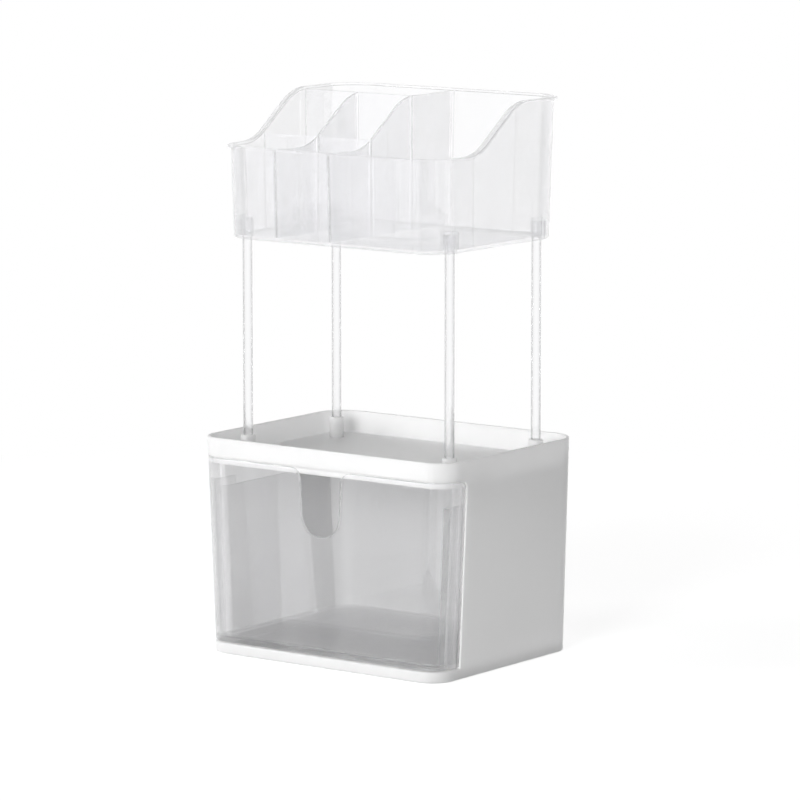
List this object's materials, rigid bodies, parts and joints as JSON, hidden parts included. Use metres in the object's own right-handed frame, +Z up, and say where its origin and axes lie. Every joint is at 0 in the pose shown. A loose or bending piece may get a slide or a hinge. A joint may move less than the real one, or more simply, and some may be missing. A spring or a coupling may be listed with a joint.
{
  "type": "makeup organizer with drawer",
  "caption": "Cabinet with a pull-out clear drawer and a recessed shelf, with clear columns that hold a removable divided tray above it.",
  "frame": {"origin": "on the ground under the middle of the cabinet", "axes": "+X to the right as seen from the front, -Y towards the drawer's front, +Z up"},
  "size_m": [0.19, 0.143, 0.345],
  "materials": {
    "white_plastic": "smooth moulded gloss",
    "clear_plastic": "clear, polished",
    "pad_rubber": "matt"
  },
  "bodies": {
    "cabinet_body": {"cabinet": "white_plastic", "column_front_left": "clear_plastic", "column_front_right": "clear_plastic", "column_rear_left": "clear_plastic", "column_rear_right": "clear_plastic", "foot_pad_front_left": "pad_rubber", "foot_pad_front_right": "pad_rubber", "foot_pad_rear_left": "pad_rubber", "foot_pad_rear_right": "pad_rubber"},
    "drawer_body": {"drawer": "clear_plastic"},
    "tray_body": {"upper_tray": "clear_plastic"}
  },
  "joints": [
    {"name": "drawer_slide", "type": "slide", "parent": "cabinet_body", "child": "drawer_body", "axis": [0, -1, 0], "range_m": [0, 0.115]},
    {"name": "tray_lift", "type": "slide", "parent": "cabinet_body", "child": "tray_body", "axis": [0, 0, 1], "range_m": [0, 0.03]}
  ]
}
